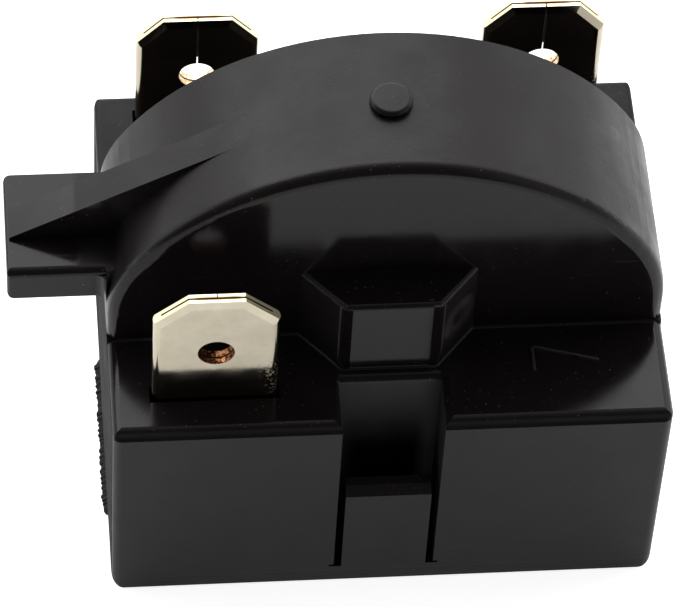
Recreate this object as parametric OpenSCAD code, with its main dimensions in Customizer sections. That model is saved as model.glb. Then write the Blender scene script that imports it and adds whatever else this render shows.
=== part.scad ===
// Plug-in start relay of a small compressor, in millimetres.
// X is across, Y runs from the front to the rear, Z is up.
// The origin is the middle of the flat bottom face. Depths count from the front face.

/* [Body] */
// Width of the moulded body
body_w = 28.3; // [27:0.1:29.2]
// Height of the ledge on the front block
ledge_h = 13.75; // [13:0.05:14.4]
// Depth of the ledge in front of the round cap
ledge_d = 5.95; // [5.7:0.05:6.6]
// Depth of the round cap's rim
rim_d = 8.8; // [8.6:0.1:9.6]
// Radius of the round cap
cap_r = 15.2; // [14.9:0.1:15.8]
// Height of the round cap's centre
cap_z = 11.5; // [11.3:0.1:12.4]
// Radius that blends the round cap into the flat sides
shoulder_r = 8; // [6:0.5:10]
// Height of the base block behind the cap
base_h = 14.7; // [14.2:0.1:15.4]
// Depth of the base block
base_d = 6.35; // [6.3:0.05:7.2]
// Thickness of the cover's walls
wall = 1.5; // [1.2:0.1:1.6]
// Radius on the two long bottom corners
foot_r = 1; // [0.5:0.1:1.5]
// Radius on the front block's edges
edge_r = 0.5; // [0.3:0.1:0.8]
// Radius on the cap's front edge
rim_r = 0.6; // [0.2:0.05:0.7]

/* [Side arm] */
// Reach of the arm beyond the body's side
arm_reach = 4.95; // [4:0.1:7]
// Height of the arm's top face
arm_top = 17.85; // [17:0.1:18.5]
// Thickness of the arm
arm_t = 2.05; // [1.5:0.1:2.6]
// Distance of the arm behind the front face
arm_y = 7.25; // [6.9:0.1:8]
// Depth of the arm
arm_d = 6.3; // [5.5:0.1:6.5]
// Thickness of the rib on the arm
rib_t = 1.8; // [1.2:0.1:2.4]

/* [Boss, tongue and pip] */
// Half width of the boss at the cap's face
boss_half_back = 4.45; // [3.8:0.05:5]
// Half width of the boss at its front
boss_half_front = 2.4; // [2:0.05:3]
// Distance of the boss behind the front face
boss_y = 3.6; // [3.5:0.05:4.2]
// Height of the boss's top face
boss_top = 18.8; // [17.5:0.1:20]
// Half width of the notch round the tongue
notch_half = 2.6; // [2.45:0.05:2.8]
// Depth of the notch behind the front face
notch_d = 2.9; // [2.6:0.05:3]
// Height at which the tongue joins the front wall
tongue_root = 1.3; // [1:0.1:2.5]
// Height of the tongue's top edge
tongue_top = 7.9; // [7:0.1:10]
// Half width of the tongue
tongue_half = 2.2; // [1.8:0.05:2.25]
// Thickness of the tongue
tongue_t = 1; // [0.8:0.05:1.3]
// Diameter of the raised pip on the rim
pip_d = 2.15; // [1.5:0.05:2.6]
// Height of the raised pip
pip_h = 0.42; // [0.3:0.02:0.6]

/* [Blades] */
// Width of a push-on blade
blade_w = 6.3; // [6.2:0.05:6.4]
// Thickness of one layer of the folded blade
sheet_t = 0.35; // [0.3:0.01:0.4]
// Gap between the two layers of a folded blade
layer_gap = 0.1; // [0.04:0.01:0.12]
// Length of a rear blade outside the plastic
blade_l = 7.95; // [7.5:0.05:8.6]
// Length of the front blade outside the plastic
front_blade_l = 7.8; // [7.5:0.05:8.6]
// Distance of the front blade behind the front face
front_blade_y = 2.07; // [2.05:0.01:2.1]
// Diameter of the hole in a blade
hole_d = 1.85; // [1.6:0.05:2]
// Height of a blade's hole above the plastic
hole_h = 3.83; // [3.5:0.05:4]
// Width of the chamfer on a rear blade's corners
tip_w = 1.4; // [1:0.05:1.6]
// Width of the chamfer on the front blade's corners
front_tip_w = 1.75; // [1:0.05:1.9]
// Height of the chamfer on a blade's corners
tip_h = 1.6; // [0.8:0.05:1.8]
// Extra height of the right rear blade
right_lift = 0.3; // [0:0.05:0.4]

/* [Pin sockets] */
// Radius of the compressor pins
pin_r = 1.6; // [1.5:0.05:1.65]
// Height of the pins
pin_z = 4.9; // [4.85:0.05:5.1]
// Thickness of the sleeves' sheet
sleeve_t = 0.4; // [0.3:0.05:0.5]

/* [Thermistor] */
// Thickness of the thermistor pill
pill_t = 2.5; // [2:0.05:2.8]
// Thickness of the spring plates
spring_t = 0.3; // [0.2:0.05:0.4]

/* [Hidden] */
$fn = 96;

// small overlap of joined shapes, and how far a cut runs past what it cuts
eps = 0.01;
past = 1;

// clearances
plug_gap = 0.15;
slot_gap = 0.12;
fit_gap = 0.01;
head_gap = 0.05;
strip_gap = 0.3;
pill_gap = 0.3;

// main places, from the front face and the middle
half_w = body_w / 2;
cover_d = ledge_d + rim_d;
body_d = cover_d + base_d;
far = 2 * cap_r;
shoulder_x = half_w - shoulder_r;
shoulder_z = cap_z + sqrt(max(0, pow(cap_r - shoulder_r, 2) - pow(shoulder_x, 2)));
shoulder_turn = atan2(shoulder_z - cap_z, shoulder_x);
shoulder_flat = 0.01;
shoulder_out = max(cap_r, half_w) - shoulder_flat;

// cover details
notch_wall = 0.8;
notch_r = 0.45;
bevel_h = 0.35;
bevel_d = 0.5;
tick_w = 0.25;
tick_h = 0.16;
foot_edge = 0.12;
corner_fillet = 0.15;

// boss details
boss_edge = 0.28;
boss_corner = 0.35;
boss_fillet = 0.14;
boss_turn = atan((ledge_d - boss_y) / (boss_half_back - boss_half_front));
boss_side = norm([ledge_d - boss_y, boss_half_back - boss_half_front]);
boss_cut = boss_corner * tan(boss_turn / 2);

// arm details
arm_edge = 0.4;
arm_small_edge = 0.2;
arm_fillet = 0.5;
rib_start = 0.15;
rib_shift = 0.1;
pip_edge = 0.22;

// base details
plug_t = 1.85;
rear_t = 1;
base_edge = 0.6;
base_top_edge = 0.3;
pocket_out = half_w - wall - head_gap;
pocket_low = 2.2;
pocket_high = base_h - wall;
entry_r = 2.3;
entry_lead = 0.6;

// folded blades, set towards the sides in the room beside the notch
blade_t = 2 * sheet_t + layer_gap;
seam_w = 0.06;
tip_bevel = 0.14;
tip_bevel_h = 0.4;
side_share = 0.2;
blade_room = half_w - wall - notch_half - notch_wall - blade_w;
blade_x = half_w - wall - side_share * blade_room - blade_w / 2;
rear_blade_y = body_d - rear_t - slot_gap - blade_t;

// rivets
rivet_r = 0.9;
rivet_head_r = 1.5;
rivet_head_t = 0.4;
rivet_above_foot = 2;
head_room = rivet_head_t - slot_gap + head_gap;
recess_r = rivet_head_r + strip_gap / 2;
plate_rivet_r = 0.6;
plate_head_r = 1.1;
plate_head_t = 0.22;

// strips of sheet, hung from the ledge and from the base's roof
strip_t = 0.5;
strip_h = 4.2;
tab_drop = 1.45;
front_rivet_drop = 2.6;
strip_drop = 1.4;
rear_rivet_drop = 1.6;
strip_set_in = 0.35;
pocket_margin = 1.2;
tab_top = ledge_h - wall - tab_drop;
front_rivet_z = tab_top - front_rivet_drop;
rear_rivet_z = pocket_high - rear_rivet_drop;
strip_high = tab_top - strip_drop;
strip_low = strip_high - strip_h;
strip_side = pocket_out - strip_gap;
strip_x = strip_side - strip_t;
strip_in = blade_x - blade_w / 2 + strip_set_in;
pocket_in = strip_in - pocket_margin;
leg_top = pocket_high - strip_gap;

// sleeves and their clips
sleeve_set_in = 0.4;
sleeve_lip = 0.5;
sleeve_slit = 0.5;
flange_w = 0.55;
sleeve_r = pin_r + sleeve_t;
sleeve_front = cover_d - plug_t + sleeve_set_in;
sleeve_rear = rear_blade_y + sleeve_lip;
flange_r = sleeve_r + flange_w;
clip_t = 0.35;
clip_l = 3;
clip_set_in = 0.9;
clip_front = sleeve_front + clip_set_in;
clip_rear = clip_front + clip_l;
clip_mouth = 2.2;

// thermistor and spring plates
plate_front = ledge_d + wall;
plate_rear = cover_d - plug_t;
pill_y = (plate_front + plate_rear - pill_t) / 2;
lug_room = 1.8;
plate_margin = 1.5;
plate_ring_w = 2.8;
finger_w = 2.4;
finger_root = 0.2;
finger_gap = 1.5;
lug_margin = 0.4;
pill_r = min(cap_z - wall, cap_r - wall, strip_x - lug_room) - pill_gap;
plate_r = pill_r - plate_margin;
plate_hole_r = plate_r - plate_ring_w;
finger_l = plate_hole_r - finger_gap;
finger_rise = asin((pill_y - plate_front - spring_t) / finger_l);
lug_l = 3;
lug_low = strip_low + lug_margin;
lug_high = strip_high - lug_margin;
front_rivet_y = plate_front - lug_l / 2;
rear_rivet_y = plate_rear + lug_l / 2;

// Moves a piece drawn from the front face to the shared origin
module placed() {
    translate([0, -body_d / 2, 0]) children();
}

// Stands an outline drawn in X and Z up between two depths
module slab(y0, y1) {
    translate([0, y1, 0]) rotate([90, 0, 0]) linear_extrude(y1 - y0) children();
}

// Block between two corners
module span(a, b) {
    translate(a) cube(b - a);
}

// Cylinder along Y between two depths
module rod(x, z, y0, y1, r) {
    translate([x, y1, z]) rotate([90, 0, 0]) cylinder(r = r, h = y1 - y0);
}

module mirror_x() {
    children();
    mirror([1, 0, 0]) children();
}

// Turns the waste of an edge into the fillet of an inner corner
module filled() {
    mirror([0, 1, 0]) mirror([0, 0, 1]) children();
}

// Rectangle with round lower corners
module block_outline(inset, top, r) {
    w = half_w - inset;
    translate([-w, inset + r]) square([2 * w, top - inset - r]);
    translate([-w + r, inset]) square([2 * (w - r), r + eps]);
    for (side = [-1, 1]) translate([side * (w - r), inset + r]) circle(r);
}

// Round cap on straight sides; its two arcs meet on a narrow flat, all one outline
module cap_outline(inset, r) {
    ray = far * [cos(shoulder_turn), sin(shoulder_turn)];
    difference() {
        union() {
            block_outline(inset, shoulder_z, r);
            for (side = [-1, 1])
                translate([side * shoulder_x, shoulder_z]) circle(shoulder_r - inset);
            translate([0, cap_z]) intersection() {
                circle(cap_r - inset);
                polygon([[0, 0], ray, [ray[0], far], [-ray[0], far], [-ray[0], ray[1]]]);
            }
        }
        mirror_x() translate([0, cap_z]) rotate(shoulder_turn)
            translate([shoulder_out - inset, -shoulder_r / 2])
            square([past, shoulder_r]);
    }
}

// Waste left by rounding an edge that runs along X, solid behind and below it
module edge_x(l, r) {
    difference() {
        translate([0, -eps, -r]) cube([l, r + eps, r + eps]);
        translate([-eps, r, -r]) rotate([0, 90, 0]) cylinder(r = r, h = l + 2 * eps);
    }
}

// Waste of an edge that runs towards plus Y, solid below it and towards minus X
module edge_y(l, r) {
    rotate([0, 0, 90]) edge_x(l, r);
}

// Waste of an upright edge at the origin, solid towards plus X and plus Y
module upright_edge(l, r) {
    difference() {
        translate([-eps, -eps, 0]) cube([r + eps, r + eps, l]);
        translate([r, r, -eps]) cylinder(r = r, h = l + 2 * eps);
    }
}

// Waste left by rounding the front edge of an arc round the Y axis
module arc_edge(radius, start, sweep, r) {
    mirror([0, 1, 0]) rotate([90, 0, 0]) rotate([0, 0, start]) rotate_extrude(angle = sweep)
        difference() {
            translate([radius - r, -eps]) square([r + eps, r + eps]);
            translate([radius - r, r]) circle(r);
        }
}

// Outside of the cap and the front block
module cover_shape() {
    slab(ledge_d, cover_d) cap_outline(0, foot_r);
    slab(0, ledge_d) block_outline(0, ledge_h, foot_r);
    translate([-half_w + edge_r, ledge_d, ledge_h]) filled()
        edge_x(body_w - 2 * edge_r, corner_fillet);
}

// Room for the thermistor, and in front of it the room for the blade and its strip
module cover_cavity() {
    slab(plate_front, cover_d + past) cap_outline(wall, foot_r / 2);
    difference() {
        slab(wall, plate_front + eps) block_outline(wall, ledge_h - wall, foot_r / 2);
        span([-notch_half - notch_wall, 0, 0],
             [notch_half + notch_wall, notch_d + notch_wall, ledge_h]);
    }
}

module cover_edges() {
    translate([-half_w - past, 0, ledge_h]) edge_x(body_w + 2 * past, edge_r);
    translate([-half_w - past, 0, 0]) mirror([0, 0, 1]) edge_x(body_w + 2 * past, foot_edge);
    mirror_x() translate([-half_w, 0, -past]) upright_edge(ledge_h + 2 * past, edge_r);
    mirror_x() translate([half_w, -past, ledge_h]) edge_y(ledge_d + past, edge_r);
    mirror_x() translate([-half_w, ledge_d, ledge_h])
        upright_edge(max(eps, shoulder_z - ledge_h), rim_r);
    mirror_x() translate([shoulder_x, ledge_d, shoulder_z])
        arc_edge(shoulder_r, 0, shoulder_turn, rim_r);
    mirror_x() translate([0, ledge_d, cap_z]) rotate([0, shoulder_turn, 0])
        translate([-shoulder_out, 0, -shoulder_r / 2]) upright_edge(shoulder_r, rim_r);
    translate([0, ledge_d, cap_z])
        arc_edge(cap_r, shoulder_turn, 180 - 2 * shoulder_turn, rim_r);
}

// Notch that frees the tongue, with its edges rounded where it breaks the ledge
module notch() {
    difference() {
        union() {
            span([-notch_half, -past, tongue_root], [notch_half, notch_d, ledge_h + past]);
            mirror_x() translate([notch_half, 0, ledge_h]) mirror([1, 0, 0])
                edge_y(notch_d, notch_r);
            translate([-notch_half, notch_d, ledge_h]) edge_x(2 * notch_half, notch_r);
            mirror_x() span([notch_half - eps, -past, tongue_root],
                            [notch_half + tick_w, tongue_t / 2, tongue_root + tick_h]);
        }
        tongue();
    }
}

// Springy tongue, its top sloped towards the front
module tongue() {
    translate([-tongue_half, 0, 0]) rotate([90, 0, 90]) linear_extrude(2 * tongue_half)
        polygon([[0, 0], [tongue_t, 0], [tongue_t, tongue_top], [bevel_d, tongue_top],
                 [0, tongue_top - bevel_h]]);
}

// Raised wedge on the ledge, flat against the cap's face
module boss() {
    difference() {
        translate([0, 0, ledge_h - eps]) linear_extrude(boss_top - ledge_h + eps) boss_outline();
        translate([-boss_half_back, boss_y, boss_top]) edge_x(2 * boss_half_back, boss_edge);
        mirror_x() boss_flank(boss_top) translate([-past, 0, 0])
            edge_x(boss_side + 2 * past, boss_edge);
    }
    translate([-boss_half_front, boss_y, ledge_h]) filled()
        edge_x(2 * boss_half_front, boss_fillet);
    mirror_x() boss_flank(ledge_h) filled() edge_x(boss_side, boss_fillet);
}

// Seen from above, with its two front corners rounded
module boss_outline() {
    side_cut = boss_cut * [cos(boss_turn), sin(boss_turn)];
    polygon([[-boss_half_back, ledge_d + eps], [boss_half_back, ledge_d + eps],
             [boss_half_front, boss_y] + side_cut, [boss_half_front - boss_cut, boss_y],
             [-boss_half_front + boss_cut, boss_y],
             [-boss_half_front - side_cut[0], boss_y + side_cut[1]]]);
    for (side = [-1, 1])
        translate([side * (boss_half_front - boss_cut), boss_y + boss_corner]) circle(boss_corner);
}

// Lays its children along the boss's right flank at a height
module boss_flank(z) {
    translate([boss_half_front, boss_y, z]) rotate([0, 0, boss_turn]) children();
}

// Side arm, run into the cap so that it always meets the cap's wall
module arm() {
    tip = -half_w - arm_reach;
    low = arm_top - arm_t;
    difference() {
        span([tip, arm_y, low], [0, arm_y + arm_d, arm_top]);
        translate([tip, arm_y, low - past]) upright_edge(arm_t + 2 * past, arm_small_edge);
        translate([tip, arm_y + arm_d, low - past]) mirror([0, 1, 0])
            upright_edge(arm_t + 2 * past, arm_edge);
        translate([tip, arm_y, arm_top]) edge_x(arm_reach, arm_edge);
        translate([tip, arm_y, arm_top]) mirror([1, 0, 0]) edge_y(arm_d, arm_small_edge);
        translate([tip, arm_y, low]) mirror([1, 0, 0]) mirror([0, 0, 1]) edge_y(arm_d, arm_edge);
    }
    translate([-half_w, arm_y, low]) mirror([1, 0, 0]) mirror([0, 1, 0])
        upright_edge(arm_t - arm_edge, arm_fillet);
}

// Rib from the arm's end up to the cap, which it meets as a tangent
module rib() {
    start = [-half_w - arm_reach + arm_small_edge, arm_top + rib_start];
    reach = norm([start[0], start[1] - cap_z]);
    heading = atan2(cap_z - start[1], -start[0]) + asin(cap_r / reach);
    touch = [-cap_r * sin(heading), cap_z + cap_r * cos(heading)];
    rib_y = arm_y + (arm_d - rib_t) / 2 - rib_shift;
    slab(rib_y, rib_y + rib_t)
        polygon([[start[0], arm_top - arm_t / 2], start, touch, [touch[0], arm_top - arm_t / 2]]);
}

// Low round pip on top of the rim
module pip() {
    r = pip_d / 2;
    top = cap_z + cap_r + pip_h;
    translate([0, ledge_d + rim_d / 2 - rib_shift, 0]) {
        translate([0, 0, cap_z + cap_r - wall]) cylinder(r = r, h = wall + pip_h - pip_edge);
        translate([0, 0, top - pip_edge - eps]) cylinder(r = r - pip_edge, h = pip_edge + eps);
        translate([0, 0, top - pip_edge]) rotate_extrude() translate([r - pip_edge, 0])
            circle(pip_edge);
    }
}

module cover() {
    color("#1b1b1d") placed() difference() {
        union() {
            cover_shape();
            boss();
            arm();
            rib();
            pip();
        }
        cover_cavity();
        cover_edges();
        notch();
        blade_slot(-blade_x, front_blade_y, ledge_h - wall - past, ledge_h + past);
    }
}

// Slot that a folded blade passes through
module blade_slot(x, y, z0, z1) {
    span([x - blade_w / 2 - slot_gap, y - slot_gap, z0],
         [x + blade_w / 2 + slot_gap, y + blade_t + slot_gap, z1]);
}

// Base block with the plate that plugs into the cap
module base() {
    color("#202022") placed() difference() {
        union() {
            slab(cover_d, body_d) block_outline(0, base_h, foot_r);
            slab(cover_d - plug_t, cover_d + eps) cap_outline(wall + plug_gap, foot_r / 2);
        }
        mirror_x() span([pocket_in, cover_d - plug_t - past, pocket_low],
                        [pocket_out, body_d - rear_t, pocket_high]);
        for (side = [-1, 1]) {
            pin_entry(side * blade_x);
            rod(side * blade_x, rear_rivet_z, body_d - rear_t - eps,
                body_d - rear_t + head_room, recess_r);
            blade_slot(side * blade_x, rear_blade_y, pocket_high - past, base_h + past);
        }
        base_edges();
    }
}

// Round entry for a pin, with a lead-in at its mouth
module pin_entry(x) {
    rod(x, pin_z, body_d - rear_t - past, body_d + past, entry_r);
    translate([x, body_d, pin_z]) rotate([90, 0, 0])
        cylinder(r1 = entry_r + entry_lead, r2 = entry_r, h = entry_lead);
}

module base_edges() {
    translate([-half_w - past, body_d, base_h]) mirror([0, 1, 0])
        edge_x(body_w + 2 * past, base_top_edge);
    translate([-half_w - past, body_d, 0]) mirror([0, 1, 0]) mirror([0, 0, 1])
        edge_x(body_w + 2 * past, foot_edge);
    mirror_x() translate([-half_w, body_d, -past]) mirror([0, 1, 0])
        upright_edge(base_h + 2 * past, base_edge);
    mirror_x() translate([half_w, cover_d, base_h]) edge_y(base_d + past, base_top_edge);
}

module ptc_pill() {
    color("#4a4643") placed() rod(0, cap_z, pill_y, pill_y + pill_t, pill_r);
}

// Flat spring plate at the cap's face, its fingers bent towards plus Y
module spring_plate() {
    difference() {
        rod(0, cap_z, plate_front, plate_front + spring_t, plate_r);
        rod(0, cap_z, plate_front - past, plate_front + spring_t + past, plate_hole_r);
    }
    for (turn = [45:90:315]) translate([0, plate_front, cap_z]) rotate([0, turn, 0])
        translate([-plate_hole_r - finger_root, 0, -finger_w / 2]) rotate([0, 0, finger_rise])
        cube([finger_l, spring_t, finger_w]);
    span([-strip_x, plate_front, lug_low], [-plate_r / 2, plate_front + spring_t, lug_high]);
    difference() {
        span([-strip_x, plate_front - lug_l, lug_low],
             [-strip_x + spring_t, plate_front + spring_t, lug_high]);
        mirror([1, 0, 0]) plate_rivet_hole(front_rivet_y);
    }
}

module front_spring_plate() {
    color("#b9bcbf") placed() spring_plate();
}

module rear_spring_plate() {
    color("#b9bcbf") placed() translate([0, plate_front + plate_rear, 0])
        rotate([0, 0, 180]) spring_plate();
}

// Upright sheet behind a rear blade, with the hole for its sleeve
module strip_leg() {
    difference() {
        span([strip_in, rear_blade_y - strip_t, pin_z - flange_r],
             [strip_side, rear_blade_y, leg_top]);
        rod(blade_x, pin_z, 0, body_d, sleeve_r + fit_gap);
        rod(blade_x, rear_rivet_z, 0, body_d, rivet_r + fit_gap);
    }
}

module plate_rivet_hole(y) {
    translate([strip_x - past, y, (lug_low + lug_high) / 2]) rotate([0, 90, 0])
        cylinder(r = plate_rivet_r + fit_gap, h = strip_t + 2 * past);
}

// Strip from the front blade along the left side to the left rear blade
module run_strip() {
    start = front_blade_y + blade_t;
    color("#b58a4a") placed() mirror([1, 0, 0]) {
        strip_leg();
        difference() {
            span([strip_x, start, strip_low], [strip_side, rear_blade_y, strip_high]);
            plate_rivet_hole(front_rivet_y);
        }
        difference() {
            span([strip_in, start, strip_low], [strip_side, start + strip_t, tab_top]);
            rod(blade_x, front_rivet_z, 0, plate_front, rivet_r + fit_gap);
        }
    }
}

module start_strip() {
    color("#b58a4a") placed() {
        strip_leg();
        difference() {
            span([strip_x, plate_rear, strip_low], [strip_side, rear_blade_y, strip_high]);
            plate_rivet_hole(rear_rivet_y);
        }
    }
}

// Cross-section of sheet folded over from both edges, its seam facing plus Y
module fold_outline() {
    r = blade_t / 2;
    reach = blade_w / 2 - r;
    difference() {
        union() {
            translate([-reach, 0]) square([2 * reach, blade_t]);
            for (side = [-1, 1]) translate([side * reach, r]) circle(r);
        }
        translate([-seam_w / 2, r]) square([seam_w, blade_t]);
        translate([-reach, r - layer_gap / 2]) square([2 * reach, layer_gap]);
    }
}

// Waste past a straight tip edge along X, with both faces bevelled towards it
module tip_waste() {
    drop = tip_bevel_h * (1 + past / tip_bevel);
    translate([-blade_w, 0, 0]) rotate([90, 0, 90]) linear_extrude(2 * blade_w)
        polygon([[-past, -drop], [tip_bevel, 0], [blade_t - tip_bevel, 0],
                 [blade_t + past, -drop], [blade_t + past, blade_l], [-past, blade_l]]);
}

// Blade through the plastic at height zero, from its foot to its tip
module blade(l, foot, corner_w) {
    corner_turn = atan(tip_h / corner_w);
    difference() {
        translate([0, 0, foot]) linear_extrude(l - foot) fold_outline();
        rod(0, hole_h, -past, blade_t + past, hole_d / 2);
        rod(0, foot + rivet_above_foot, -past, blade_t + past, rivet_r + fit_gap);
        translate([0, 0, l]) tip_waste();
        mirror_x() translate([blade_w / 2 - corner_w, 0, l]) rotate([0, corner_turn, 0])
            tip_waste();
    }
}

module front_blade() {
    color("#c9bd9e") placed() translate([-blade_x, front_blade_y, ledge_h])
        blade(front_blade_l, front_rivet_z - rivet_above_foot - ledge_h, front_tip_w);
}

module rear_blade(side, lift) {
    level = base_h + lift;
    color("#c9bd9e") placed() translate([side * blade_x, rear_blade_y + blade_t, level])
        mirror([0, 1, 0]) blade(blade_l, rear_rivet_z - rivet_above_foot - level, tip_w);
}

module left_rear_blade() {
    rear_blade(-1, 0);
}

module right_rear_blade() {
    rear_blade(1, right_lift);
}

// Rolled sleeve that grips a pin, flanged against its strip
module pin_sleeve(side) {
    color("#c39a5a") placed() difference() {
        union() {
            rod(side * blade_x, pin_z, sleeve_front, sleeve_rear, sleeve_r);
            rod(side * blade_x, pin_z, rear_blade_y - strip_t - sleeve_t,
                rear_blade_y - strip_t, flange_r);
        }
        rod(side * blade_x, pin_z, 0, body_d, pin_r);
        translate([side * blade_x, 0, pin_z])
            span([-sleeve_slit / 2, 0, -sleeve_r - past], [sleeve_slit / 2, clip_rear, 0]);
    }
}

module run_pin_sleeve() {
    pin_sleeve(-1);
}

module start_pin_sleeve() {
    pin_sleeve(1);
}

// Steel clip that squeezes a sleeve, open at the top
module sleeve_clip(side) {
    color("#9a9da0") placed() difference() {
        rod(side * blade_x, pin_z, clip_front, clip_rear, sleeve_r + clip_t);
        rod(side * blade_x, pin_z, clip_front - past, clip_rear + past, sleeve_r + fit_gap);
        translate([side * blade_x, 0, pin_z])
            span([-clip_mouth / 2, 0, 0], [clip_mouth / 2, body_d, sleeve_r + past]);
    }
}

module run_sleeve_clip() {
    sleeve_clip(-1);
}

module start_sleeve_clip() {
    sleeve_clip(1);
}

// Rivet along Y through layers that lie between two depths
module rivet(x, y0, y1, z, r, head_r, head_t) {
    rod(x, z, y0 - head_t, y1 + head_t, r);
    rod(x, z, y0 - head_t, y0, head_r);
    rod(x, z, y1, y1 + head_t, head_r);
}

module blade_rivets() {
    color("#d0c9b8") placed() {
        rivet(-blade_x, front_blade_y, front_blade_y + blade_t + strip_t, front_rivet_z,
              rivet_r, rivet_head_r, rivet_head_t);
        for (side = [-1, 1])
            rivet(side * blade_x, rear_blade_y - strip_t, rear_blade_y + blade_t,
                  rear_rivet_z, rivet_r, rivet_head_r, rivet_head_t);
    }
}

module plate_rivet(side, y) {
    translate([side * (strip_x - spring_t), y, (lug_low + lug_high) / 2])
        rotate([0, 0, -90 * side])
        rivet(0, 0, spring_t + strip_t, 0, plate_rivet_r, plate_head_r, plate_head_t);
}

module spring_plate_rivets() {
    color("#d0c9b8") placed() {
        plate_rivet(-1, front_rivet_y);
        plate_rivet(1, rear_rivet_y);
    }
}

cover();
base();
ptc_pill();
front_spring_plate();
rear_spring_plate();
run_strip();
start_strip();
front_blade();
left_rear_blade();
right_rear_blade();
run_pin_sleeve();
start_pin_sleeve();
run_sleeve_clip();
start_sleeve_clip();
blade_rivets();
spring_plate_rivets();
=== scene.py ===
# %% [markdown]
# # A plug-in start relay, dressed for the camera
# The relay is a small black moulding that plugs onto a compressor's pins.
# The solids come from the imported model, in metres. This script gives them
# their finishes, adds the few details that are too fine for the solids, and
# sets a floor, lights and a camera at the photograph's angle.

# %% Load the frame
import math
import random
import bmesh
import bpy
from mathutils import Matrix, Vector


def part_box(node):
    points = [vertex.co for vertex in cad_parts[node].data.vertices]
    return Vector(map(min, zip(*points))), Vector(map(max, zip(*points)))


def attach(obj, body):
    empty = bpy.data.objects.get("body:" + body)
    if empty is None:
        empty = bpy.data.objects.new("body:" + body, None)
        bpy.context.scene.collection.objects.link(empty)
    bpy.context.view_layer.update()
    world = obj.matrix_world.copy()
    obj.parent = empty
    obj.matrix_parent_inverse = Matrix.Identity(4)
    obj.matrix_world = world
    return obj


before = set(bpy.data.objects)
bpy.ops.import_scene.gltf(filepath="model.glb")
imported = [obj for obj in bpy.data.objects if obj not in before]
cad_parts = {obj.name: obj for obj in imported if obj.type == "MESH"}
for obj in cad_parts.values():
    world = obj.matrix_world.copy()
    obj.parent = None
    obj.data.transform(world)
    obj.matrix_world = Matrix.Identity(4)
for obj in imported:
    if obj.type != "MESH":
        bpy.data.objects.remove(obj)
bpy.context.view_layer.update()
print("nodes:", ", ".join(sorted(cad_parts)))

# %% Sizes shared by the cells below
MM = 0.001
FRONT_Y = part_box("cover")[0].y
LEDGE_Z = 13.75 * MM
LEDGE_D = 5.95 * MM
BLADE_X = 8.91 * MM
print(f"front face at y = {FRONT_Y / MM:.2f} mm")

# %% [markdown]
# ## Helpers for materials
# A colour picker gives sRGB values, while Blender's sockets hold linear light,
# so one function turns a hex colour to linear. A second one adds a node with
# its settings and its links in one call, which keeps each recipe short.

# %% Colour and node helpers
def linear(hex_colour):
    """An sRGB hex colour as linear red, green, blue and alpha."""
    parts = [int(hex_colour[i:i + 2], 16) / 255 for i in (1, 3, 5)]
    return [c / 12.92 if c <= 0.04045 else ((c + 0.055) / 1.055) ** 2.4 for c in parts] + [1.0]


def add(tree, kind, inputs=None, **settings):
    """Adds a node. Inputs are numbers, colours or the sockets of other nodes."""
    node = tree.nodes.new(kind)
    for name, value in settings.items():
        setattr(node, name, value)
    for name, value in (inputs or {}).items():
        if isinstance(value, bpy.types.NodeSocket):
            tree.links.new(value, node.inputs[name])
        else:
            node.inputs[name].default_value = value
    return node


def new_material(name):
    """An empty material, its node tree and its object coordinates in metres."""
    material = bpy.data.materials.new(name)
    material.use_nodes = True
    tree = material.node_tree
    tree.nodes.clear()
    place = add(tree, "ShaderNodeTexCoord").outputs["Object"]
    return material, tree, place


def finish_material(tree, inputs, bump=None):
    """Ends a material with a Principled shader, and a bump where one is given."""
    shader = add(tree, "ShaderNodeBsdfPrincipled", inputs)
    if bump is not None:
        tree.links.new(bump, shader.inputs["Normal"])
    add(tree, "ShaderNodeOutputMaterial", {"Surface": shader.outputs[0]})
    return shader


def ramp(tree, value, low, high, out_low=0.0, out_high=1.0):
    """A number moved smoothly from one range to another."""
    return add(tree, "ShaderNodeMapRange", {
        "Value": value, "From Min": low, "From Max": high,
        "To Min": out_low, "To Max": out_high}, interpolation_type="SMOOTHSTEP").outputs[0]


def maths(tree, operation, a, b=0.0):
    return add(tree, "ShaderNodeMath", {0: a, 1: b}, operation=operation).outputs[0]


def noise(tree, place, size_mm, detail=3.0, roughness=0.5):
    """Noise whose blotches are about this many millimetres across."""
    return add(tree, "ShaderNodeTexNoise", {
        "Vector": place, "Scale": 1 / (size_mm * MM), "Detail": detail,
        "Roughness": roughness}).outputs[0]


# %% [markdown]
# ## Moulded black plastic
# The housing is a glass-filled polyester, moulded in a steel tool. The cap's
# face and the ledge copied a polished part of the tool, so they mirror what
# stands near them. The rim and the front were only stoned, which leaves them
# satin, and the two side walls are the roughest, because the part slid along
# the tool there. One shader can do all four: it stays nearly black, and its
# roughness and its bump follow where a point lies and which way it faces.
# Black plastic this dark shows almost nothing of its own colour. What the eye
# sees is the reflection, so the specular level decides how black it looks.

# %% Values of the black polyester
PLASTIC_IOR = 1.5
PLASTIC_SHINE = 0.18
POLISHED = 0.15
SATIN = 0.36
STONED = 0.42
DRAGGED = 0.85
print("plastic roughness:", POLISHED, SATIN, STONED, DRAGGED)


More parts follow.
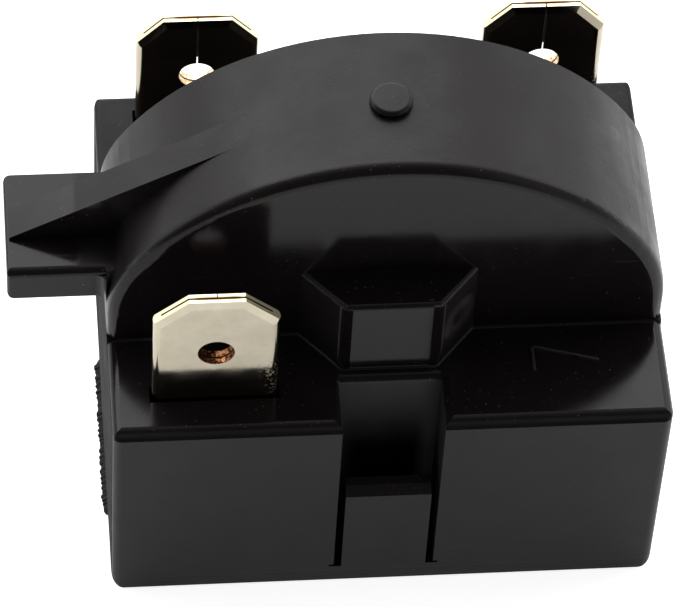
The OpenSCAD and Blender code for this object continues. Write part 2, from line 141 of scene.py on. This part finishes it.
# %% Where each finish lies
def surface_masks(tree, place):
    """How much a point lies on the rim, the front, the side walls and the boss's flanks."""
    xyz = add(tree, "ShaderNodeSeparateXYZ", {0: place})
    normal = add(tree, "ShaderNodeNewGeometry").outputs["Normal"]
    facing = add(tree, "ShaderNodeSeparateXYZ", {0: normal})
    away = maths(tree, "ABSOLUTE", facing.outputs[1])
    rim = maths(tree, "MULTIPLY", ramp(tree, away, 0.35, 0.15),
                ramp(tree, xyz.outputs[1], FRONT_Y + LEDGE_D - 0.3 * MM, FRONT_Y + LEDGE_D))
    rim = maths(tree, "MULTIPLY", rim, ramp(tree, xyz.outputs[0], -15.7 * MM, -15.3 * MM))
    front = maths(tree, "MULTIPLY", ramp(tree, facing.outputs[1], -0.5, -0.9),
                  ramp(tree, xyz.outputs[1], FRONT_Y + 0.8 * MM, FRONT_Y + 0.4 * MM))
    aside = maths(tree, "ABSOLUTE", facing.outputs[0])
    out = maths(tree, "ABSOLUTE", xyz.outputs[0])
    outer = ramp(tree, out, 13.2 * MM, 13.8 * MM)
    notch = maths(tree, "MULTIPLY", ramp(tree, out, 2.3 * MM, 2.5 * MM),
                  ramp(tree, out, 2.9 * MM, 2.8 * MM))
    side = maths(tree, "MULTIPLY", ramp(tree, aside, 0.86, 0.97),
                 maths(tree, "MAXIMUM", outer, notch))
    side = maths(tree, "MULTIPLY", side, ramp(tree, xyz.outputs[2], 14.6 * MM, 13.2 * MM))
    flank = maths(tree, "MULTIPLY", ramp(tree, aside, 0.6, 0.7), ramp(tree, away, 0.5, 0.6))
    toward = ramp(tree, facing.outputs[1], -0.5, -0.9)
    pocket = maths(tree, "MULTIPLY", ramp(tree, out, 2.95 * MM, 2.85 * MM),
                   ramp(tree, xyz.outputs[1], FRONT_Y + 3.1 * MM, FRONT_Y + 3.0 * MM))
    pocket = maths(tree, "MULTIPLY", pocket,
                   ramp(tree, xyz.outputs[2], LEDGE_Z - 0.2 * MM, LEDGE_Z - 0.4 * MM))
    return rim, front, side, flank, pocket, toward, xyz


# %% [markdown]
# ## Marks on the plastic
# A moulding that has been handled is never clean. It carries lint and dust
# that show as pale dots on the black, faint hairline scratches, and a witness
# line low on the front where two parts of the tool met. The dots come from the
# peaks of a fine noise. The scratches come from a noise that is drawn out
# many times along one direction, so only thin streaks are left. Two soft pale
# rings are painted highlights: the one on the boss's right flank is a painted
# reflection of the table, and a small one sits on the rim's right side.

# %% Dust, scratches, the witness line and painted highlight rings
WITNESS_Z = 0.9 * MM
EDGE_BAND = 0.62 * MM
BOSS_Y = 3.6 * MM
BOSS_HALF = 2.4 * MM


def dust(tree, place):
    """Pale dots, mostly smaller than a tenth of a millimetre."""
    return ramp(tree, noise(tree, place, 0.17, 2.0, 0.5), 0.69, 0.76)


def scratches(tree, place, turn, spacing_mm):
    """Hairlines along one direction, about this far apart."""
    drawn = add(tree, "ShaderNodeMapping", {"Vector": place, "Rotation": turn,
                                            "Scale": (0.06, 1.0, 1.0)}).outputs[0]
    return ramp(tree, noise(tree, drawn, spacing_mm, 2.0, 0.5), 0.72, 0.76)


def painted_highlight_ring(tree, place, centre_mm, radius_mm):
    """A small soft pale ring of colour, a painted highlight."""
    x, y, z = centre_mm
    centre = (x * MM, FRONT_Y + y * MM, z * MM)
    off = add(tree, "ShaderNodeVectorMath", {0: place, 1: centre}, operation="DISTANCE").outputs[1]
    band = maths(tree, "ABSOLUTE", maths(tree, "SUBTRACT", off, radius_mm * MM))
    faint = ramp(tree, noise(tree, place, 1.2, 2.0, 0.5), 0.3, 0.7, 0.3, 1.0)
    return maths(tree, "MULTIPLY", ramp(tree, band, radius_mm * MM * 0.9, 0.0), faint)


def soft_edges(tree, xyz, front, toward):
    """Lowers the surface near two worn edges, as if their rounding were wider.

    The upper edge of the front leans back, and so do the sides of the boss's face."""
    ledge = maths(tree, "MAXIMUM", maths(tree, "SUBTRACT", xyz.outputs[2], LEDGE_Z - EDGE_BAND), 0.0)
    boss = maths(tree, "MAXIMUM", maths(tree, "SUBTRACT", maths(tree, "ABSOLUTE", xyz.outputs[0]),
                                        BOSS_HALF - 0.38 * MM), 0.0)
    off = maths(tree, "ABSOLUTE", maths(tree, "SUBTRACT", xyz.outputs[1], FRONT_Y + BOSS_Y))
    face = maths(tree, "MULTIPLY", toward, ramp(tree, off, 0.3 * MM, 0.2 * MM))
    return maths(tree, "ADD", maths(tree, "MULTIPLY", ledge, front),
                 maths(tree, "MULTIPLY", boss, face))


def witness_line(tree, xyz, front):
    off = maths(tree, "ABSOLUTE", maths(tree, "SUBTRACT", xyz.outputs[2], WITNESS_Z))
    return maths(tree, "MULTIPLY", ramp(tree, off, 0.07 * MM, 0.02 * MM), front)


# %% Black polyester of the cover and the base
def black_polyester(name, base, worn, polished, satin, stoned, dragged, shine):
    """Moulded black plastic with polished, satin, stoned and dragged finishes."""
    material, tree, place = new_material(name)
    rim, front, side, flank, pocket, toward, xyz = surface_masks(tree, place)
    grain = noise(tree, place, 0.2, 4.0, 0.65)
    cloud = noise(tree, place, 2.2, 4.0, 0.6)
    swirl = noise(tree, place, 0.7, 3.0, 0.5)
    matt = maths(tree, "MAXIMUM", rim, front)
    specks = maths(tree, "MULTIPLY", dust(tree, place), ramp(tree, matt, 0.0, 1.0, 1.0, 0.35))
    lines = maths(tree, "MAXIMUM", scratches(tree, place, (0.3, 0.5, 0.4), 0.35),
                  scratches(tree, place, (1.1, -0.4, 2.2), 0.5))
    rough = ramp(tree, cloud, 0.3, 0.7, polished * 0.8, polished * 1.2)
    for mask, low, high in ((pocket, satin, satin * 1.2), (rim, satin * 0.85, satin * 1.2),
                            (front, stoned * 0.92, stoned * 1.08),
                            (flank, satin, satin * 1.2), (side, dragged * 0.9, dragged * 1.1)):
        finish = ramp(tree, cloud, 0.3, 0.7, low, high)
        rough = add(tree, "ShaderNodeMix", {0: mask, 2: rough, 3: finish}).outputs[0]
    rough = maths(tree, "ADD", rough, maths(tree, "MULTIPLY", lines, 0.12))
    coarse = maths(tree, "MAXIMUM", maths(tree, "MULTIPLY", matt, 0.4), side)
    height = maths(tree, "MULTIPLY", grain, maths(tree, "ADD", coarse, 0.03))
    swirl = maths(tree, "MULTIPLY", swirl, rim)
    height = maths(tree, "ADD", height, maths(tree, "MULTIPLY", swirl, 0.25))
    height = maths(tree, "ADD", height, maths(tree, "MULTIPLY", specks, 0.15))
    seam = witness_line(tree, xyz, front)
    height = maths(tree, "SUBTRACT", height, maths(tree, "MULTIPLY", seam, 0.25))
    leaning = add(tree, "ShaderNodeBump", {"Height": soft_edges(tree, xyz, front, toward),
                                           "Distance": 1.0, "Strength": 1.0}, invert=True)
    bump = add(tree, "ShaderNodeBump", {"Height": height, "Distance": 0.03 * MM, "Strength": 0.6,
                                        "Normal": leaning.outputs[0]})
    tint = add(tree, "ShaderNodeMix", {0: cloud, 6: linear(base), 7: linear(worn)},
               data_type="RGBA").outputs[2]
    # Painted highlights in #4a4846: a ring on the boss's right flank, a painted reflection of the
    # table, and a small ring on the rim's right highlight.
    painted_highlights = maths(tree, "ADD", painted_highlight_ring(tree, place, (11.8, 12.4, 21.0), 0.3),
                 painted_highlight_ring(tree, place, (3.45, 4.8, 16.1), 0.85))
    for mask, amount, colour in ((specks, 0.5, "#6a6866"), (painted_highlights, 0.6, "#4a4846")):
        tint = add(tree, "ShaderNodeMix", {0: maths(tree, "MULTIPLY", mask, amount), 6: tint,
                                           7: linear(colour)}, data_type="RGBA").outputs[2]
    finish_material(tree, {"Base Color": tint, "Roughness": rough, "IOR": PLASTIC_IOR,
                           "Specular IOR Level": shine}, bump.outputs[0])
    return material


cover_plastic = black_polyester("polished_black_polyester", "#151113", "#1a1617",
                                POLISHED, SATIN, STONED, DRAGGED, PLASTIC_SHINE)
base_plastic = black_polyester("satin_black_polyester", "#120f10", "#171415",
                               0.4, 0.42, 0.45, 0.85, 0.12)
# A lighter copy of the black plastic for the cavity number, a painted highlight on its strokes.
highlight_painted_plastic = black_polyester("highlight_painted_black_polyester", "#262425", "#2e2b2c",
                                    0.5, 0.5, 0.5, 0.5, 0.4)

# %% [markdown]
# ## Nickel-plated brass blades
# Each blade is thin brass, plated with bright nickel and then folded double.
# Where the press cut it, the bare edge shows paler brass. On the front blade
# the wall of the punched hole is a dull copper brown with bright crumbs from
# the punch. On the two rear blades that wall is painted pale cream, a painted
# highlight, and the up-facing bevel of the tip is painted dark, a painted shade.
# The gap between the two layers keeps the brown of the bare sheet. Along the
# seam the plating is scuffed, so that a pale line shows on a face that is
# otherwise a mirror. All of these are found from where a point lies and which
# way it faces, so one recipe serves the three blades.

# %% Values of the blades
HOLE_R = 0.925 * MM
FRONT_SHEET_Y = FRONT_Y + 2.47 * MM
REAR_SHEET_Y = FRONT_Y + 19.58 * MM


# %% Where the hole, the gap and the seam lie
def blade_places(tree, place, x, hole_z, sheet_y, seam_faces):
    """Masks of a blade: cut edges, hole wall, layer gap, seam, low corner and bevel."""
    xyz = add(tree, "ShaderNodeSeparateXYZ", {0: place})
    facing = add(tree, "ShaderNodeSeparateXYZ",
                 {0: add(tree, "ShaderNodeNewGeometry").outputs["Normal"]})
    cut = ramp(tree, facing.outputs[2], 0.45, 0.6)
    dx = maths(tree, "SUBTRACT", xyz.outputs[0], x)
    dz = maths(tree, "SUBTRACT", xyz.outputs[2], hole_z)
    away = maths(tree, "SQRT", maths(tree, "ADD", maths(tree, "MULTIPLY", dx, dx),
                                     maths(tree, "MULTIPLY", dz, dz)))
    flat = maths(tree, "ABSOLUTE", facing.outputs[1])
    hole = maths(tree, "MULTIPLY", ramp(tree, away, HOLE_R + 0.12 * MM, HOLE_R + 0.07 * MM),
                 ramp(tree, flat, 0.6, 0.3))
    deep = maths(tree, "ABSOLUTE", maths(tree, "SUBTRACT", xyz.outputs[1], sheet_y))
    beside = maths(tree, "ABSOLUTE", dx)
    gap = maths(tree, "MULTIPLY", ramp(tree, deep, 0.13 * MM, 0.07 * MM),
                ramp(tree, beside, 1.6 * MM, 0.8 * MM))
    seam = maths(tree, "MULTIPLY", ramp(tree, beside, 0.055 * MM, 0.035 * MM),
                 ramp(tree, maths(tree, "MULTIPLY", facing.outputs[1], seam_faces), 0.5, 0.9))
    corner = maths(tree, "MULTIPLY", ramp(tree, dx, 1.9 * MM, 3.1 * MM),
                   ramp(tree, dz, -0.4 * MM, -1.5 * MM))
    bevel = maths(tree, "MULTIPLY", ramp(tree, facing.outputs[2], 0.18, 0.26),
                  ramp(tree, facing.outputs[2], 0.45, 0.4))
    return cut, hole, gap, seam, corner, bevel


# %% Bright nickel plate
def nickel_plate(name, x, hole_z, sheet_y, seam_faces, bevel_shade, wall_light, wall_dark):
    material, tree, place = new_material(name)
    cut, hole, gap, seam, corner, bevel = blade_places(tree, place, x, hole_z, sheet_y,
                                                       seam_faces)
    smear = noise(tree, place, 1.4, 4.0, 0.6)
    pits = noise(tree, place, 0.14, 3.0, 0.6)
    brushed = noise(tree, add(tree, "ShaderNodeMapping", {"Vector": place, "Scale": (1, 1, 0.06)}
                              ).outputs[0], 0.16, 3.0, 0.6)
    tarnish = maths(tree, "MULTIPLY", ramp(tree, pits, 0.5, 0.62), corner)
    crumbs = ramp(tree, noise(tree, place, 0.16, 2.0, 0.5), 0.42, 0.62)

    def layered(base, mask, colour):
        return add(tree, "ShaderNodeMix", {0: mask, 6: base, 7: colour},
                   data_type="RGBA").outputs[2]

    # Hole wall colours; on the rear blades they are pale, a painted highlight.
    wall = layered(linear(wall_dark), crumbs, linear(wall_light))
    colour = layered(linear("#bfb8a7"), smear, linear("#a29983"))
    colour = layered(colour, maths(tree, "MULTIPLY", tarnish, 0.5), linear("#8c7a5c"))
    # On the rear blades the bevel is painted dark brown, a painted shade.
    colour = layered(colour, maths(tree, "MULTIPLY", bevel, bevel_shade), linear("#2c2720"))
    colour = layered(colour, cut, linear("#f0e4bd"))
    colour = layered(colour, maths(tree, "MULTIPLY", gap, 0.85), linear("#8a6238"))
    colour = layered(colour, hole, wall)
    rough = ramp(tree, smear, 0.3, 0.7, 0.09, 0.14)
    for mask, value in ((tarnish, 0.45), (cut, 0.4), (gap, 0.55), (hole, 0.4), (seam, 0.6)):
        rough = add(tree, "ShaderNodeMix", {0: mask, 2: rough, 3: value}).outputs[0]
    height = maths(tree, "ADD", smear, maths(tree, "MULTIPLY", pits, 0.12))
    height = maths(tree, "ADD", height, maths(tree, "MULTIPLY", brushed, 0.1))
    pitted = maths(tree, "MULTIPLY", pits, hole)
    height = maths(tree, "ADD", height, maths(tree, "MULTIPLY", pitted, 2.0))
    bump = add(tree, "ShaderNodeBump", {"Height": height, "Distance": 0.03 * MM,
                                        "Strength": 0.2})
    finish_material(tree, {"Base Color": colour, "Metallic": 1.0, "Roughness": rough},
                    bump.outputs[0])
    return material


# %% [markdown]
# ## Metals and ceramic inside
# Nobody sees the inside in the photograph, but each piece still gets the
# finish of its trade: rolled stainless spring steel with fine lines along the
# rolling, stamped brass with a soft tarnish, and the dark sintered thermistor.

# %% Rolled and stamped metals, sintered ceramic
def rolled_metal(name, light, dark, roughness, stretch):
    """Sheet metal, its faint lines drawn out along the rolling direction."""
    material, tree, place = new_material(name)
    drawn = add(tree, "ShaderNodeMapping", {"Vector": place, "Scale": stretch}).outputs[0]
    lines = noise(tree, drawn, 0.4, 4.0, 0.6)
    colour = add(tree, "ShaderNodeMix", {0: lines, 6: linear(light), 7: linear(dark)},
                 data_type="RGBA").outputs[2]
    rough = ramp(tree, lines, 0.3, 0.7, roughness * 0.8, roughness * 1.25)
    bump = add(tree, "ShaderNodeBump", {"Height": lines, "Distance": 0.01 * MM,
                                        "Strength": 0.4})
    finish_material(tree, {"Base Color": colour, "Metallic": 1.0, "Roughness": rough},
                    bump.outputs[0])
    return material


def sintered_ceramic():
    material, tree, place = new_material("silvered_sintered_ceramic")
    grain = noise(tree, place, 0.2, 5.0, 0.65)
    facing = add(tree, "ShaderNodeSeparateXYZ",
                 {0: add(tree, "ShaderNodeNewGeometry").outputs["Normal"]})
    silver = ramp(tree, maths(tree, "ABSOLUTE", facing.outputs[1]), 0.6, 0.9)
    body = add(tree, "ShaderNodeMix", {0: grain, 6: linear("#3a3633"), 7: linear("#4c4743")},
               data_type="RGBA").outputs[2]
    colour = add(tree, "ShaderNodeMix", {0: silver, 6: body, 7: linear("#c9c7c0")},
                 data_type="RGBA").outputs[2]
    bump = add(tree, "ShaderNodeBump", {"Height": grain, "Distance": 0.02 * MM,
                                        "Strength": 0.4})
    finish_material(tree, {"Base Color": colour, "Metallic": silver, "Roughness": 0.5},
                    bump.outputs[0])
    return material


spring_steel = rolled_metal("rolled_spring_steel", "#c4c6c8", "#a4a6a8", 0.28, (0.2, 1, 1))
strip_brass = rolled_metal("stamped_brass", "#c9a25a", "#a67f3c", 0.3, (1, 0.2, 1))
sleeve_bronze = rolled_metal("rolled_bronze", "#b98a5c", "#96683e", 0.32, (1, 0.2, 1))
rivet_steel = rolled_metal("headed_plated_steel", "#cfcabc", "#aba594", 0.35, (1, 1, 1))

# %% Give each node its finish
FINISHES = {
    "cover": cover_plastic,
    "base": base_plastic,
    "ptc_pill": sintered_ceramic(),
    "front_spring_plate": spring_steel,
    "rear_spring_plate": spring_steel,
    "run_strip": strip_brass,
    "start_strip": strip_brass,
    "front_blade": nickel_plate("nickel_plate_front", -BLADE_X, 17.58 * MM, FRONT_SHEET_Y,
                                1.0, 0.0, "#cf8f62", "#43261a"),
    # The rear blades get a painted shade on their bevels and painted-highlight pale hole walls.
    "left_rear_blade": nickel_plate("nickel_plate_left", -BLADE_X, 18.53 * MM, REAR_SHEET_Y,
                                    -1.0, 0.85, "#f3ead2", "#c9a878"),
    "right_rear_blade": nickel_plate("nickel_plate_right", BLADE_X, 18.83 * MM, REAR_SHEET_Y,
                                     -1.0, 0.85, "#f3ead2", "#c9a878"),
    "run_pin_sleeve": sleeve_bronze,
    "start_pin_sleeve": sleeve_bronze,
    "run_sleeve_clip": spring_steel,
    "start_sleeve_clip": spring_steel,
    "blade_rivets": rivet_steel,
    "spring_plate_rivets": rivet_steel,
}
for name, material in FINISHES.items():
    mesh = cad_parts[name].data
    mesh.materials.clear()
    mesh.materials.append(material)
print("finished", len(FINISHES), "nodes")

# %% [markdown]
# ## Raised cavity number
# Moulders cut a small number into the tool so that a bad cavity can be found.
# Here it is a plain 7, made of two rounded strokes that stand a little proud
# of the ledge. Each stroke is a bar with half-round ends, built from its own
# ring of points, so the light catches its edges as on the real moulding. The
# strokes are also made in a lighter copy of the black plastic, a painted highlight.

# %% Cavity number on the ledge
STROKE_W = 0.17 * MM
STROKE_H = 0.1 * MM


def stroke(bm, start, end, width, height, base_z, arc_steps=8):
    """A raised bar with round ends and a narrower top."""
    along = (end - start).normalized()
    rings = []
    for radius, z in ((width / 2, base_z - 0.02 * MM), (width / 2, base_z),
                      (width * 0.36, base_z + height)):
        ring = []
        for centre, sense in ((end, 1), (start, -1)):
            for i in range(arc_steps + 1):
                turn = math.pi * (i / arc_steps - 0.5)
                side = Vector((-along.y, along.x))
                offset = sense * (along * math.cos(turn) + side * math.sin(turn)) * radius
                ring.append(bm.verts.new((*(centre + offset), z)))
        rings.append(ring)
    for lower, upper in zip(rings, rings[1:]):
        for i in range(len(lower)):
            j = (i + 1) % len(lower)
            bm.faces.new((lower[i], lower[j], upper[j], upper[i]))
    bm.faces.new(rings[-1])
    bm.faces.new(list(reversed(rings[0])))


def make_piece(name, bm, material):
    """Turns a bmesh into a piece that rides on the root body."""
    bmesh.ops.recalc_face_normals(bm, faces=bm.faces)
    mesh = bpy.data.meshes.new(name)
    bm.to_mesh(mesh)
    bm.free()
    piece = bpy.data.objects.new(name, mesh)
    bpy.context.scene.collection.objects.link(piece)
    mesh.materials.append(material)
    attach(piece, "root")
    print(name, len(mesh.polygons), "faces")
    return piece


bm = bmesh.new()
seven = [Vector((7.35, 3.1)), Vector((7.35, 4.55)), Vector((10.6, 3.6))]
seven = [Vector((p.x * MM, FRONT_Y + p.y * MM)) for p in seven]
for start, end in zip(seven, seven[1:]):
    stroke(bm, start, end, STROKE_W, STROKE_H, LEDGE_Z)
# The strokes use the lighter plastic, a painted highlight.
make_piece("cavity_number", bm, highlight_painted_plastic)

# %% [markdown]
# ## Ragged fin along the bottom edge
# A thin ragged fin stands out low on the left side, where it draws a dark,
# uneven line against the white table. It is a strip whose outer edge moves in
# and out by a seeded random number at each step, so it is the same on every run.

# %% Ragged fin along the left bottom edge
FIN_PROUD = 0.3 * MM
FIN_T = 0.16 * MM


def ragged_fin(x, y_front, y_rear, z, steps):
    """A level fin that stands out towards minus X by an uneven amount."""
    rng = random.Random(7)
    bm = bmesh.new()
    rows = []
    for i in range(steps + 1):
        y = y_front + (y_rear - y_front) * i / steps
        fade = min(1.0, (i + 1) / 4, (steps - i + 1) / 4)
        out = FIN_PROUD * fade * (0.6 + 0.4 * rng.random())
        lift = FIN_T * (0.5 + 0.5 * rng.random())
        corners = ((x + 0.2 * MM, z), (x - out, z), (x - out, z + lift * 0.5),
                   (x + 0.05 * MM, z + lift + FIN_T))
        rows.append([bm.verts.new((cx, y, cz)) for cx, cz in corners])
    for lower, upper in zip(rows, rows[1:]):
        for i in range(4):
            j = (i + 1) % 4
            bm.faces.new((lower[i], lower[j], upper[j], upper[i]))
    bm.faces.new(list(reversed(rows[0])))
    bm.faces.new(rows[-1])
    return bm


cover_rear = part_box("cover")[1].y
body_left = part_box("base")[0].x
fin = ragged_fin(body_left, FRONT_Y + 4.6 * MM, cover_rear - 0.1 * MM, 0.12 * MM, 90)
make_piece("left_bottom_fin", fin, base_plastic)

# %% [markdown]
# ## Floor, light and camera
# The photograph was taken on a white table, with one large window or softbox
# behind and above the part and a dim room on the camera's side. Black gloss
# copies its surroundings, so this matters more here than the plastic's own
# colour: the rim mirrors the softbox, the front mirrors the table, and every
# rounded front edge mirrors the dim room, which draws the dark lines.

# %% White table
def white_table():
    """White for the camera, softer in reflections, and it keeps a faint shadow."""
    material, tree, place = new_material("white_table")
    speckle = noise(tree, place, 30.0, 2.0, 0.5)
    colour = add(tree, "ShaderNodeMix", {0: speckle, 6: linear("#f2f2f2"), 7: linear("#f6f6f6")},
                 data_type="RGBA").outputs[2]
    lit = add(tree, "ShaderNodeBsdfDiffuse", {"Color": colour})
    glow = add(tree, "ShaderNodeEmission", {"Color": linear("#ffffff"), "Strength": TABLE_GLOW})
    path = add(tree, "ShaderNodeLightPath")
    seen = maths(tree, "MAXIMUM", path.outputs["Is Camera Ray"],
                 maths(tree, "MULTIPLY", MIRRORED_GLOW,
                       maths(tree, "MAXIMUM", path.outputs["Is Glossy Ray"],
                             path.outputs["Is Transmission Ray"])))
    both = add(tree, "ShaderNodeAddShader", {0: lit.outputs[0], 1: glow.outputs[0]})
    shown = add(tree, "ShaderNodeMixShader", {0: seen, 1: lit.outputs[0], 2: both.outputs[0]})
    add(tree, "ShaderNodeOutputMaterial", {"Surface": shown.outputs[0]})
    return material


TABLE_GLOW = 0.8
MIRRORED_GLOW = 0.65
bpy.ops.mesh.primitive_plane_add(size=4.0, location=(0, 0, 0))
floor = bpy.context.object
floor.name = "table_top"
floor.data.materials.append(white_table())

# %% World light
world = bpy.data.worlds.new("dim_room")
bpy.context.scene.world = world
world.use_nodes = True
sky = world.node_tree
sky.nodes.clear()
direction = add(sky, "ShaderNodeSeparateXYZ",
                {0: add(sky, "ShaderNodeTexCoord").outputs["Generated"]})
ahead = ramp(sky, direction.outputs[1], -0.5, 0.5, 0.12, 1.0)
ahead = maths(sky, "MAXIMUM", ahead, ramp(sky, direction.outputs[0], 0.2, 0.8, 0.0, 0.6))
low = ramp(sky, direction.outputs[2], 0.02, 0.25, 1.0, 0.0)
horizon = maths(sky, "MULTIPLY", ahead, 1.35)
walls = add(sky, "ShaderNodeMix", {0: low, 2: ahead, 3: horizon}).outputs[0]
room = add(sky, "ShaderNodeBackground", {"Color": linear("#ffffff"), "Strength": walls})
add(sky, "ShaderNodeOutputWorld", {"Surface": room.outputs[0]})


# %% Softboxes
def softbox(name, place, target, width, height, brightness):
    """A rectangular area lamp that faces a point and is this bright to look at."""
    lamp = bpy.data.lights.new(name, "AREA")
    lamp.shape = "RECTANGLE"
    lamp.size, lamp.size_y = width, height
    lamp.energy = brightness * math.pi * width * height
    holder = bpy.data.objects.new(name, lamp)
    bpy.context.scene.collection.objects.link(holder)
    holder.location = place
    holder.rotation_euler = (Vector(target) - Vector(place)).to_track_quat("-Z", "Y").to_euler()
    print(name, f"{lamp.energy:.2f} W")
    return holder


softbox("rear_softbox", (-0.09, 0.38, 0.34), (0, 0, 0.012), 0.68, 0.42, 3.5)
softbox("right_softbox", (0.34, 0.2, 0.23), (0, 0, 0.012), 0.3, 0.26, 1.5)
softbox("left_softbox", (-0.42, 0.12, 0.16), (0, 0, 0.012), 0.25, 0.2, 0.9)

# %% Camera at the photograph's angle
IMAGE_W, IMAGE_H = 679, 607
FOCAL_PX = 4764.5
SENSOR_MM = 36.0
ELEVATION, AZIMUTH, ROLL = 0.923, -0.1295, 0.0678
EYE = Vector((-21.13 * MM, (-137.59 - 10.55) * MM, 207.42 * MM))


def photo_camera():
    back = Vector((math.sin(AZIMUTH) * math.cos(ELEVATION),
                   -math.cos(AZIMUTH) * math.cos(ELEVATION), math.sin(ELEVATION)))
    level = Vector((math.cos(AZIMUTH), math.sin(AZIMUTH), 0))
    upright = back.cross(level)
    right = math.cos(ROLL) * level + math.sin(ROLL) * upright
    up = -math.sin(ROLL) * level + math.cos(ROLL) * upright
    data = bpy.data.cameras.new("photo_camera")
    data.sensor_width = SENSOR_MM
    data.lens = FOCAL_PX / IMAGE_W * SENSOR_MM
    data.clip_start = 0.01
    camera = bpy.data.objects.new("photo_camera", data)
    bpy.context.scene.collection.objects.link(camera)
    camera.matrix_world = Matrix.Translation(EYE) @ Matrix((right, up, back)).transposed().to_4x4()
    return camera


bpy.context.scene.camera = photo_camera()
bpy.context.scene.view_settings.view_transform = "Standard"
print(f"lens {bpy.context.scene.camera.data.lens:.1f} mm")
